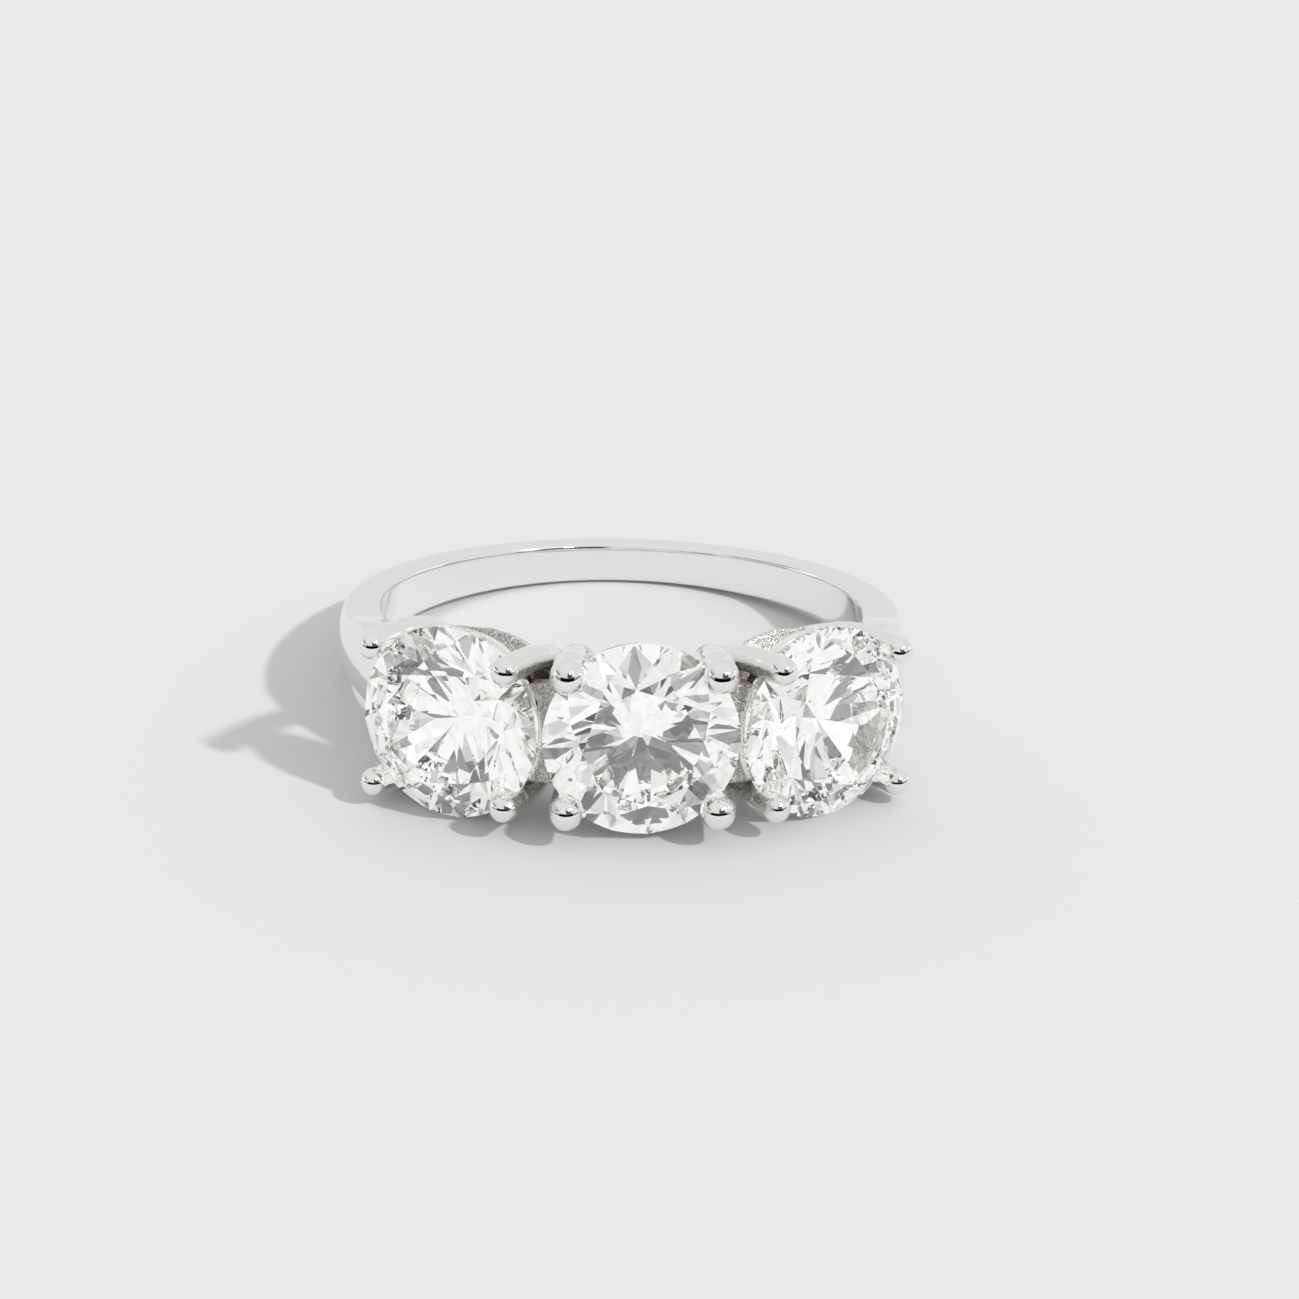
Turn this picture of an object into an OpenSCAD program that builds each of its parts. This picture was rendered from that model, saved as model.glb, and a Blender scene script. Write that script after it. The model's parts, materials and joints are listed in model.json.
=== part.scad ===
// Three-stone ring: a tapered band, three four-claw heads on a common gallery,
// and three equal round brilliant stones. It lies on its side as it would by itself,
// on the back of the band and the girdles of the two outer stones.
// The origin is on the resting plane, under the middle of the ring.
// In the ring's own frame the finger hole runs along Z and the stones face -Y.

/* [Band] */
// Diameter of the finger hole
bore_d = 16.5; // [15.7:0.05:17.3]
// Thickness of the band at its back
back_t = 1.05; // [0.9:0.05:1.3]
// Thickness of the band at its two sides
side_t = 1.45; // [1.35:0.05:1.7]
// Half of the band's width at its back
back_half_w = 0.65; // [0.55:0.05:0.8]
// Half of the band's width at its two sides
side_half_w = 1.0; // [0.9:0.05:1.1]
// Half of the band's width where it meets the heads
shoulder_half_w = 2.3; // [2.1:0.02:2.34]
// Radius of the rounding across the band's outside
dome_r = 2.5; // [2.4:0.1:3]

/* [Stones] */
// Diameter of each stone
stone_d = 6.5; // [6.4:0.05:6.55]
// Angle between the stones, seen along the finger
stone_angle = 32.5; // [32.5:0.1:33.5]
// Distance of each girdle from the finger's axis
girdle_r = 11.45; // [11.4:0.05:11.6]
// Width of the table across its corners, as a part of the stone's diameter
table_ratio = 0.61; // [0.53:0.01:0.62]
// Slope of the crown's main facets
crown_angle = 35; // [33:0.5:36]
// Slope of the pavilion's main facets
pavilion_angle = 41; // [40.5:0.1:41.2]

/* [Heads] */
// Radius of a claw on the two outer heads
claw_r = 0.45; // [0.42:0.01:0.47]
// Radius of a ball tip on the two outer heads
tip_r = 0.475; // [0.47:0.005:0.5]
// Radius of a claw on the middle head
middle_claw_r = 0.53; // [0.46:0.01:0.54]
// Radius of a ball tip on the middle head
middle_tip_r = 0.56; // [0.54:0.01:0.58]
// Distance of a claw from the stone's axis, around the finger
claw_x = 2.47; // [2.42:0.01:2.5]
// Distance of a claw from the stone's axis, along the finger
claw_y = 2.33; // [2.3:0.01:2.4]
// Height of a ball tip's centre over the girdle
tip_h = 0.7; // [0.68:0.01:0.76]
// Outer radius of the rim that each stone sits in
rim_r = 3.15; // [3.1:0.01:3.2]
// Thickness of the gallery rail behind the stones
rail_t = 0.47; // [0.42:0.01:0.6]

/* [Hidden] */
$fn = 96;
far = 30;

bore_r = bore_d / 2;
stone_r = stone_d / 2;

// The outside of the band is a circle a little in front of the finger's axis.
back_r = bore_r + back_t;
side_r = bore_r + side_t;
band_r = (back_r + side_r * side_r / back_r) / 2;
band_shift = band_r - back_r;
back_edge_r = back_r - dome_r + sqrt(dome_r * dome_r - back_half_w * back_half_w);

// The band widens evenly to its sides, then flares to the heads.
flare_start_y = -1.2;
flare_end_y = -6.9;
flare_steps = 14;
taper = (side_half_w - back_half_w) / back_r;
shoulder_angle = 1.45 * stone_angle;

// Each head stands on a round foot, joined by a narrower waist.
foot_r = 2.32;
waist_half_w = 1.75;
light_hole_r = 1.05;
web_t = 0.9;
web_half_w = 1.7;
web_top_r = girdle_r - 0.05;
rim_top = -0.4;
rim_bottom = -1.15;
rim_low_r = rim_r - 0.28;
claw_foot = [2.42, 1.72, -3.3];

// The rail's wall is thinner at its two edges, and the walls between the stones have
// a pocket behind their own edges.
rail_top_t = 0.2;
rail_plain_half_w = 1.2;
rail_half_w = 2.5;
pocket_r = 10.8;
pocket_half_w = 0.6;

// The stone's facets. The crown is worked out from its main facets' slope and the table,
// the pavilion from its main facets' slope, and each small facet from the points it joins.
// main_h is half of the girdle's thickness where the main facets meet it.
main_h = 0.12;
star_ratio = 0.45;
lower_ratio = 0.76;
table_r = stone_r * table_ratio;
table_in_r = table_r * cos(22.5);
crown_h = main_h + (stone_r - table_r) * tan(crown_angle);
star_tip_r = table_in_r + star_ratio * (stone_r - table_in_r);
star_tip_h = main_h + (stone_r - star_tip_r * cos(22.5)) * tan(crown_angle);
upper_slope = (star_tip_h - main_h) / (stone_r - star_tip_r) / cos(11.25);
lower_tip_r = stone_r * (1 - lower_ratio);
lower_tip_h = main_h + (stone_r - lower_tip_r * cos(22.5)) * tan(pavilion_angle);
lower_slope = (lower_tip_h - main_h) / (stone_r - lower_tip_r) / cos(11.25);
pavilion_h = main_h + stone_r * tan(pavilion_angle);

// The girdle has this many points on each of its sixteen arcs.
arc_points = 4;
girdle_points = 16 * arc_points;

// The metal is cut back from each stone by this much.
seat_gap = 0.05;

// Resting on the band's back and the outer stones' girdles tips the ring by this angle.
front_rest_y = (girdle_r - main_h) * cos(stone_angle);
rest_tilt = atan((stone_r - back_half_w) / (front_rest_y + back_edge_r));
floor_z = front_rest_y * sin(rest_tilt) - stone_r * cos(rest_tilt);
y_high = (back_r - dome_r) * cos(rest_tilt) + dome_r;
y_low = -(girdle_r + tip_h) * cos(rest_tilt) - claw_y * sin(rest_tilt) - middle_tip_r;

function half_width(y) =
    let (t = min(1, max(0, (flare_start_y - y) / (flare_start_y - flare_end_y))))
    let (plain = side_half_w - taper * y)
    let (plain_end = side_half_w - taper * flare_end_y)
    plain + (shoulder_half_w - plain_end) * t * t * (3 - 2 * t);

// Places a part made in the ring's own frame as the ring lies.
module at_rest() {
    translate([0, -(y_low + y_high) / 2, -floor_z])
        rotate([-rest_tilt, 0, 0])
            children();
}

// Places a part made in a stone's frame: +Z out of the table, +Y along the finger.
module at_head(place) {
    rotate([0, 0, place * stone_angle])
        translate([0, -girdle_r, 0])
            rotate([90, 0, 0])
                children();
}

// A straight round bar between two points.
module bar(from, to, r) {
    way = to - from;
    translate(from)
        rotate([0, acos(way[2] / norm(way)), atan2(way[1], way[0])])
            cylinder(h = norm(way), r = r);
}

// The band's width along the finger, seen from its side and drawn right through.
module side_outline() {
    ys = [for (i = [0:flare_steps])
        flare_start_y + (flare_end_y - flare_start_y) * i / flare_steps];
    upper = concat([[far, half_width(far)]], [for (y = ys) [y, half_width(y)]]);
    lower = [for (i = [len(upper) - 1:-1:0]) [upper[i][0], -upper[i][1]]];
    rotate([90, 0, 90])
        linear_extrude(height = 2 * far, center = true)
            polygon(concat(upper, lower));
}

// The wedge of the ring that the three heads take up, as seen along the finger.
module head_wedge() {
    reach = 2 * far;
    linear_extrude(height = reach, center = true)
        polygon([
            [0, 0],
            [reach * sin(shoulder_angle), -reach * cos(shoulder_angle)],
            [0, -2 * reach],
            [-reach * sin(shoulder_angle), -reach * cos(shoulder_angle)]
        ]);
}

// Flat-sided band with a rounded outside, which ends at the heads.
module band() {
    difference() {
        intersection() {
            translate([0, -band_shift, 0])
                rotate_extrude($fn = 180)
                    translate([band_r - dome_r, 0])
                        circle(r = dome_r);
            side_outline();
        }
        head_wedge();
    }
}

// Thin rail around the finger that carries the heads.
module rail() {
    wall_r = bore_r + rail_t;
    edge_r = bore_r + rail_top_t;
    intersection() {
        rotate_extrude($fn = 180)
            polygon([
                [0, -rail_half_w],
                [edge_r, -rail_half_w],
                [wall_r, -rail_plain_half_w],
                [wall_r, rail_plain_half_w],
                [edge_r, rail_half_w],
                [0, rail_half_w]
            ]);
        union() {
            side_outline();
            intersection() {
                cube([far, far, 2 * waist_half_w], center = true);
                head_wedge();
            }
            for (place = [-1:1])
                at_head(place)
                    translate([0, 0, -girdle_r / 2])
                        cylinder(h = girdle_r / 2, r = foot_r);
        }
    }
}

// Rim, four claws and ball tips of one head, in the stone's frame.
module head(place) {
    bar_r = place == 0 ? middle_claw_r : claw_r;
    ball_r = place == 0 ? middle_tip_r : tip_r;
    translate([0, 0, rim_bottom])
        cylinder(h = rim_top - rim_bottom, r1 = rim_low_r, r2 = rim_r);
    for (sx = [-1, 1], sy = [-1, 1]) {
        tip = [sx * claw_x, sy * claw_y, tip_h];
        bar([sx * claw_foot[0], sy * claw_foot[1], claw_foot[2]], tip, bar_r);
        translate(tip)
            sphere(r = ball_r);
    }
}

// Wall between two neighbouring stones.
module web(side) {
    rotate([0, 0, side * stone_angle / 2]) {
        translate([0, -(bore_r + web_top_r) / 2, 0])
            cube([web_t, web_top_r - bore_r, 2 * pocket_half_w], center = true);
        translate([0, -(pocket_r + web_top_r) / 2, 0])
            cube([web_t, web_top_r - pocket_r, 2 * web_half_w], center = true);
    }
}

// Room for one stone, in the stone's frame, with the light hole behind it.
module stone_room() {
    r = stone_r + seat_gap;
    top = crown_h + 2 * seat_gap;
    cone_top_r = r - (top - main_h) / tan(crown_angle + 1);
    low = pavilion_h + 2 * seat_gap;
    rotate_extrude()
        polygon([
            [0, top],
            [cone_top_r, top],
            [r, main_h],
            [r, -main_h],
            [0, -low]
        ]);
    translate([0, 0, -girdle_r + 1])
        cylinder(h = girdle_r - 2, r = light_hole_r);
}

module ring_mount() {
    color("silver")
        at_rest()
            difference() {
                union() {
                    band();
                    rail();
                    for (place = [-1:1])
                        at_head(place)
                            head(place);
                    web(-1);
                    web(1);
                }
                cylinder(h = far, r = bore_r, center = true, $fn = 180);
                for (place = [-1:1])
                    at_head(place)
                        stone_room();
            }
}

// Point at an angle, a radius and a height about the stone's axis.
function polar(azimuth, r, h) = [r * cos(azimuth), r * sin(azimuth), h];

// Height of the girdle's edge under the small facet of the given slope.
function girdle_edge(i, slope) =
    let (off = 22.5 * (i % arc_points) / arc_points - 11.25)
    main_h - stone_r * (cos(off) - cos(11.25)) * slope;

// One edge of the girdle, above (side = 1) or below (side = -1) its middle.
function girdle_ring(side, slope) =
    [for (i = [0:girdle_points - 1])
        polar(i * 360 / girdle_points, stone_r, side * girdle_edge(i, slope))];

// Eight points about the axis, the first at the given angle.
function eight(start, r, h) = [for (i = [0:7]) polar(start + 45 * i, r, h)];

// Numbers of the girdle's points from one to another, round the turn.
function arc(base, from, count) =
    [for (i = [from:from + count]) base + (i + girdle_points) % girdle_points];

function reversed(list) = [for (i = [len(list) - 1:-1:0]) list[i]];

// Faces of the crown or, reversed, of the pavilion: a main facet between two tips, and
// two small facets from each tip down to the girdle. The inner point of the main facet
// is one of eight on the crown and the single culet on the pavilion.
function sloped_faces(inner, tips, ring) =
    let (eighth = 2 * arc_points)
    concat(
        [for (i = [0:7])
            [ring + i * eighth, tips + (i + 7) % 8, len(inner) == 8 ? inner[i] : inner[0], tips + i]],
        [for (i = [0:7]) concat([tips + i], reversed(arc(ring, i * eighth, arc_points)))],
        [for (i = [0:7])
            concat([tips + i], reversed(arc(ring, i * eighth + arc_points, arc_points)))]
    );

// Round brilliant in its own frame, with the girdle's middle at the origin.
module brilliant() {
    points = concat(
        eight(0, table_r, crown_h),
        eight(22.5, star_tip_r, star_tip_h),
        girdle_ring(1, upper_slope),
        girdle_ring(-1, lower_slope),
        eight(22.5, lower_tip_r, -lower_tip_h),
        [[0, 0, -pavilion_h]]
    );
    stars = 8;
    top_ring = 16;
    low_ring = top_ring + girdle_points;
    low_tips = low_ring + girdle_points;
    culet = low_tips + 8;
    table = [[for (i = [7:-1:0]) i]];
    star_facets = [for (i = [0:7]) [i, (i + 1) % 8, stars + i]];
    girdle = [for (i = [0:girdle_points - 1])
        let (next = (i + 1) % girdle_points)
        [top_ring + i, top_ring + next, low_ring + next, low_ring + i]];
    crown = sloped_faces([for (i = [0:7]) i], stars, top_ring);
    pavilion = [for (face = sloped_faces([culet], low_tips, low_ring)) reversed(face)];
    polyhedron(points, concat(table, star_facets, crown, girdle, pavilion));
}

module stone(place) {
    color("aliceblue")
        at_rest()
            at_head(place)
                brilliant();
}

module centre_stone() { stone(0); }
module left_stone() { stone(-1); }
module right_stone() { stone(1); }

ring_mount();
centre_stone();
left_stone();
right_stone();
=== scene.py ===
"""Three-stone ring lying on its side: band, claw setting, three round brilliants and a plain studio.

All shapes are worked out in the ring's own frame, in millimetres: X from the left stone to the
right one, Y from the stones to the band's back, Z along the finger. RestPose then lays them down
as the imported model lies, in metres.
"""
import json
import logging
import math
from dataclasses import dataclass
from enum import Enum, IntEnum
from typing import Callable

import bpy
import numpy as np
from mathutils import Matrix, Vector


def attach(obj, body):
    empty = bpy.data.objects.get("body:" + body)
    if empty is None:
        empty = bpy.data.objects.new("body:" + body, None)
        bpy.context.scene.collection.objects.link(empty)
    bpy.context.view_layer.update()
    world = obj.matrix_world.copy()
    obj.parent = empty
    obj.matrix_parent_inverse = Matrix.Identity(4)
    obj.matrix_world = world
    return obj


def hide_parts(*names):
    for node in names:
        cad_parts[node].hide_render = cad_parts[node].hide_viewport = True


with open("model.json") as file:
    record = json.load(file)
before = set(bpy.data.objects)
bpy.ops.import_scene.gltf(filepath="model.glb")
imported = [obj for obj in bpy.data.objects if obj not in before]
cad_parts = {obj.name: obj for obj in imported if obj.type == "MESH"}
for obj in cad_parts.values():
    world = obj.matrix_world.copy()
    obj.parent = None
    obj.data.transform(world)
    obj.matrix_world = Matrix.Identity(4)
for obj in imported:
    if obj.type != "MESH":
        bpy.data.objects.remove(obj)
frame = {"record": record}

MM = 0.001
# Nothing is divided by a length or by a squared slope below these.
TINY = 1e-9
FLAT = 0.05
# A brilliant's main facets, as many above the girdle as below.
MAINS = 8
LOG = logging.getLogger("ring")
Field = Callable[[np.ndarray], np.ndarray]
# What goes into a shader node: a socket to join, or a plain value.
Number = bpy.types.NodeSocket | float
Colour = bpy.types.NodeSocket | tuple


class Slot(Enum):
    """The record's material slots."""

    METAL = "polished_metal"
    STONE = "clear_stone"


class Place(IntEnum):
    """The places of the stones and their heads, counted from the middle one."""

    LEFT = -1
    CENTRE = 0
    RIGHT = 1


# Shape functions on rows of points, in millimetres. A value is below zero inside the metal.

def soft_union(a: np.ndarray, b: np.ndarray, blend: float) -> np.ndarray:
    """Join two shapes with a fillet.

    Args:
        a: Distance to the first shape at each point.
        b: Distance to the second shape at each point.
        blend: How far from the corner the fillet starts.

    Returns:
        Distance to the joined shape at each point.
    """
    near = np.maximum(blend - np.abs(a - b), 0.0)
    return np.minimum(a, b) - near * near / (4.0 * blend)


def soft_cross(a: np.ndarray, b: np.ndarray, blend: float) -> np.ndarray:
    """Keep what both shapes share, with a rounded edge.

    Args:
        a: Distance to the first shape at each point.
        b: Distance to the second shape at each point.
        blend: How far from the edge the rounding starts.

    Returns:
        Distance to the shared shape at each point.
    """
    return -soft_union(-a, -b, blend)


def ease(value: np.ndarray, start: float, end: float) -> np.ndarray:
    """Smooth step from 0 at start to 1 at end.

    Args:
        value: Numbers to map.
        start: Where the step begins.
        end: Where the step ends.

    Returns:
        The eased numbers, from 0 to 1.
    """
    t = np.clip((value - start) / (end - start), 0.0, 1.0)
    return t * t * (3.0 - 2.0 * t)


def fade(value: np.ndarray, start: float, end: float) -> np.ndarray:
    """Smooth step from 1 at start to 0 at end."""
    return ease(-value, -end, -start)


def from_axis(p: np.ndarray) -> np.ndarray:
    """Distance of points from their frame's Z axis."""
    return np.hypot(p[:, 0], p[:, 1])


def from_front(p: np.ndarray) -> np.ndarray:
    """Angle of points about the finger, from the middle stone to either side."""
    return np.arctan2(np.abs(p[:, 0]), -p[:, 1])


def unit(rows: np.ndarray) -> np.ndarray:
    """Directions brought to length 1, one row each."""
    return rows / np.maximum(np.linalg.norm(rows, axis=1), TINY)[:, None]


@dataclass(frozen=True)
class RestPose:
    """Lays the ring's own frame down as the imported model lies.

    Args:
        centre: Middle of the finger hole, in metres.
        axis: Direction along the finger.
    """

    centre: Vector
    axis: Vector

    @classmethod
    def from_record(cls, record: dict) -> "RestPose":
        """Read the pose from the finger hole's mount.

        Args:
            record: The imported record.

        Returns:
            The pose.
        """
        bore = next(m for m in record["mounts"] if m["name"] == "finger_bore")
        return cls(Vector(bore["pos_m"]), Vector(bore["axis"]).normalized())

    def turn(self) -> np.ndarray:
        """Rotation from the ring's frame to the world.

        Returns:
            The rotation, as three rows and columns.
        """
        z = self.axis
        x = Vector((1.0, 0.0, 0.0))
        y = z.cross(x)
        return np.array([x, y, z]).T

    def points(self, p: np.ndarray) -> np.ndarray:
        """Millimetres in the ring's frame to metres in the world."""
        return (p * MM) @ self.turn().T + np.array(self.centre)

    def directions(self, d: np.ndarray) -> np.ndarray:
        """Directions in the ring's frame to directions in the world."""
        return d @ self.turn().T


@dataclass(frozen=True)
class RingSizes:
    """Driving sizes of the metal, in millimetres and radians.

    Args:
        bore_r: Radius of the finger hole.
        back_t: Thickness of the band at its back.
        side_t: Thickness of the band at its sides.
        back_half_w: Half of the band's width at its back.
        side_half_w: Half of the band's width at its sides.
        shoulder_half_w: Half of the band's width where it meets the heads.
        dome_r: Radius of the band's rounded outside, across the band.
        flare_start_y: Where the flare towards the heads starts.
        flare_end_y: Where the flare ends.
        edge: Rounding of the outer edges.
        bore_edge: Rounding of the finger hole's edges.
        bore_edge_stretch: How much further that rounding reaches in than down.
        stone_r: Radius of the stones.
        stone_angle: Angle about the finger from one stone to the next.
        girdle_r: Distance of the girdles' middles from the finger's axis.
        rail_t: Thickness of the rail behind the stones.
        rail_top_t: Thickness of the rail at its two edges.
        foot_r: Radius of the heads' feet.
        waist_half_w: Half of the rail's width between the feet.
        light_hole_r: Radius of the light holes.
        shoulder_turn: Where the band gives way to the heads, in stone angles from the front.
    """

    bore_r: float = 8.25
    back_t: float = 1.05
    side_t: float = 1.45
    back_half_w: float = 0.65
    side_half_w: float = 1.0
    shoulder_half_w: float = 2.3
    dome_r: float = 2.5
    flare_start_y: float = -1.2
    flare_end_y: float = -6.9
    edge: float = 0.13
    bore_edge: float = 0.18
    bore_edge_stretch: float = 1.3
    stone_r: float = 3.25
    stone_angle: float = math.radians(32.5)
    girdle_r: float = 11.45
    rail_t: float = 0.47
    rail_top_t: float = 0.2
    foot_r: float = 2.32
    waist_half_w: float = 1.75
    light_hole_r: float = 1.05
    shoulder_turn: float = 1.45

    @property
    def shoulder_angle(self) -> float:
        """Angle from the front at which the band gives way to the heads."""
        return self.shoulder_turn * self.stone_angle

    @property
    def band_r(self) -> float:
        """Radius of the band's outside, which is a circle a little in front of the finger.

        Returns:
            The radius.
        """
        back_r = self.bore_r + self.back_t
        side_r = self.bore_r + self.side_t
        return (back_r + side_r * side_r / back_r) / 2

    @property
    def band_shift(self) -> float:
        """How far that circle's middle lies in front of the finger's axis."""
        return self.band_r - self.bore_r - self.back_t

    def half_width(self, y: np.ndarray) -> np.ndarray:
        """Half of the band's width along the finger.

        Args:
            y: Places from the stones to the band's back.

        Returns:
            The half width at each place.
        """
        taper = (self.side_half_w - self.back_half_w) / (self.bore_r + self.back_t)
        plain_end = self.side_half_w - taper * self.flare_end_y
        flare = ease(-y, -self.flare_start_y, -self.flare_end_y)
        return self.side_half_w - taper * y + (self.shoulder_half_w - plain_end) * flare

    def width_slope(self, y: np.ndarray) -> np.ndarray:
        """How fast the half width changes along Y."""
        step = 0.01
        return (self.half_width(y + step) - self.half_width(y - step)) / (2 * step)

    def outline(self, p: np.ndarray) -> np.ndarray:
        """Distance past the band's two flat sides."""
        slope = self.width_slope(p[:, 1])
        return (np.abs(p[:, 2]) - self.half_width(p[:, 1])) / np.sqrt(1 + slope * slope)

    def dome(self, p: np.ndarray) -> np.ndarray:
        """Distance past the band's rounded outside."""
        ring = np.hypot(p[:, 0], p[:, 1] + self.band_shift) - (self.band_r - self.dome_r)
        return np.hypot(ring, p[:, 2]) - self.dome_r

    def bored(self, body: np.ndarray, p: np.ndarray) -> np.ndarray:
        """Cut the finger hole, with edges that are worn round and reach further in than down.

        Args:
            body: Distance to the uncut metal at each point.
            p: The points.

        Returns:
            Distance to the cut metal at each point.
        """
        bore = self.bore_r - from_axis(p)
        return soft_cross(body / self.bore_edge_stretch, bore, self.bore_edge)

    def band(self, p: np.ndarray) -> np.ndarray:
        """Distance to the whole band, as if it went on all round the finger."""
        return self.bored(soft_cross(self.dome(p), self.outline(p), self.edge), p)


def gradient(shape: Field, p: np.ndarray, step: float = 0.004) -> np.ndarray:
    """Slope of a shape function.

    Args:
        shape: The shape function.
        p: Points, one row each.
        step: Distance between the two samples on each side.

    Returns:
        The slope at each point, one row each.
    """
    out = np.empty_like(p)
    for i in range(3):
        off = np.zeros(3)
        off[i] = step
        out[:, i] = (shape(p + off) - shape(p - off)) / (2 * step)
    return out


def settle(shape: Field, p: np.ndarray, rounds: int = 4, most: float = 0.05) -> np.ndarray:
    """Move points onto a shape's surface.

    Args:
        shape: The shape function.
        p: Points near the surface, one row each.
        rounds: How many steps are taken.
        most: The longest step.

    Returns:
        The moved points.
    """
    for _ in range(rounds):
        slope = gradient(shape, p)
        size = np.maximum((slope * slope).sum(1), FLAT)
        step = slope * (shape(p) / size)[:, None]
        length = np.sqrt((step * step).sum(1))
        p = p - step * np.minimum(1.0, most / np.maximum(length, TINY))[:, None]
    return p


@dataclass
class SurfaceNet:
    """Turns a shape function into a mesh of even four-sided faces.

    Args:
        low: Lowest corner of the space that is searched.
        high: Highest corner of that space.
        cell: Size of a face.
        block: How many cells of the grid make one side of a block.
        reach: How far from a block's middle the surface is looked for, in sides of the block.
        spare: How much further it is looked for, in millimetres.
        batch: How many blocks are worked out at a time.
    """

    low: tuple
    high: tuple
    cell: float
    block: int = 8
    reach: float = 0.9
    spare: float = 0.1
    batch: int = 400

    def samples(self, shape: Field) -> np.ndarray:
        """Shape values on a grid, exact only near the surface.

        Args:
            shape: The shape function.

        Returns:
            The values, indexed by the grid's three directions.
        """
        span = np.asarray(self.high) - np.asarray(self.low)
        blocks = np.ceil(span / (self.cell * self.block)).astype(int)
        size = self.cell * self.block
        low = np.asarray(self.low)
        index = np.stack(np.meshgrid(*[np.arange(n) for n in blocks], indexing="ij"), -1).reshape(-1, 3)
        middle = shape(low + (index + 0.5) * size)
        grid = np.repeat(middle, self.block ** 3).reshape(*blocks, self.block, self.block, self.block)
        grid = grid.astype(np.float32)
        near = np.flatnonzero(np.abs(middle) < self.reach * size + self.spare)
        step = np.stack(np.meshgrid(*[np.arange(self.block)] * 3, indexing="ij"), -1).reshape(-1, 3)
        flat = grid.reshape(-1, self.block ** 3)
        for part in np.array_split(near, max(1, len(near) // self.batch)):
            corner = low + index[part] * size
            p = (corner[:, None, :] + step[None] * self.cell).reshape(-1, 3)
            flat[part] = shape(p).reshape(len(part), -1)
        return flat.reshape(grid.shape).transpose(0, 3, 1, 4, 2, 5).reshape(*(blocks * self.block))

    def crossings(self, value: np.ndarray, cells: np.ndarray) -> np.ndarray:
        """Middle of the places where the surface crosses each cell's twelve edges.

        Args:
            value: Shape values on the grid.
            cells: Grid index of each cell's lowest corner.

        Returns:
            One point for each cell, in grid steps.
        """
        corners = np.array([(i, j, k) for i in (0, 1) for j in (0, 1) for k in (0, 1)])
        at = cells[:, None, :] + corners[None]
        v = value[at[..., 0], at[..., 1], at[..., 2]]
        total = np.zeros((len(cells), 3))
        count = np.zeros(len(cells))
        for a in range(8):
            for b in range(a + 1, 8):
                if np.abs(corners[a] - corners[b]).sum() != 1:
                    continue
                hit = (v[:, a] < 0) != (v[:, b] < 0)
                t = np.where(hit, v[:, a] / np.where(hit, v[:, a] - v[:, b], 1.0), 0.0)
                place = corners[a] + t[:, None] * (corners[b] - corners[a])
                total += place * hit[:, None]
                count += hit
        return cells + total / count[:, None]

    def build(self, shape: Field) -> tuple[np.ndarray, np.ndarray]:
        """Mesh a shape.

        Args:
            shape: The shape function.

        Returns:
            Points and four-sided faces, both one row each.
        """
        value = self.samples(shape)
        inside = value < 0
        n = np.array(inside.shape) - 1
        count = np.zeros(n, dtype=np.int8)
        for i in (0, 1):
            for j in (0, 1):
                for k in (0, 1):
                    count += inside[i:n[0] + i, j:n[1] + j, k:n[2] + k]
        cells = np.argwhere((count > 0) & (count < 8))
        number = np.full(n, -1, dtype=np.int32)
        number[cells[:, 0], cells[:, 1], cells[:, 2]] = np.arange(len(cells))
        points = np.asarray(self.low) + self.crossings(value, cells) * self.cell
        return points, np.concatenate([self.walls(inside, number, axis) for axis in range(3)])

    def walls(self, inside: np.ndarray, number: np.ndarray, axis: int) -> np.ndarray:
        """Faces across one direction, wherever the grid goes in or out of the shape.

        Args:
            inside: Whether each point of the grid lies inside the shape.
            number: Number of the mesh's point in each cell, or -1.
            axis: The direction, from 0 to 2.

        Returns:
            Four-sided faces, one row each.
        """
        n = number.shape
        u, w = (axis + 1) % 3, (axis + 2) % 3
        first = [slice(None)] * 3
        second = [slice(None)] * 3
        first[axis], second[axis] = slice(None, -1), slice(1, None)
        a, b = inside[tuple(first)], inside[tuple(second)]
        at = np.argwhere(a != b)
        at = at[(at[:, u] > 0) & (at[:, w] > 0) & (at[:, u] < n[u]) & (at[:, w] < n[w])]
        outward = a[at[:, 0], at[:, 1], at[:, 2]]
        ring = []
        for du, dw in ((-1, -1), (0, -1), (0, 0), (-1, 0)):
            cell = at.copy()
            cell[:, u] += du
            cell[:, w] += dw
            ring.append(number[cell[:, 0], cell[:, 1], cell[:, 2]])
        quad = np.stack(ring, 1)
        quad[~outward] = quad[~outward][:, ::-1]
        return quad


def relax(p: np.ndarray, faces: np.ndarray, shape: Field, rounds: int) -> np.ndarray:
    """Even out a mesh's points along its surface.

    Args:
        p: Points, one row each.
        faces: Four-sided faces.
        shape: The shape function that the points stay on.
        rounds: How many times the points are moved.

    Returns:
        The moved points.
    """
    a = faces.ravel()
    b = np.roll(faces, -1, axis=1).ravel()
    weight = np.bincount(a, minlength=len(p)).astype(float)
    for _ in range(rounds):
        middle = np.stack([np.bincount(a, p[b, i], len(p)) for i in range(3)], 1) / weight[:, None]
        p = settle(shape, 0.5 * p + 0.5 * middle, rounds=2)
    return p


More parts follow.
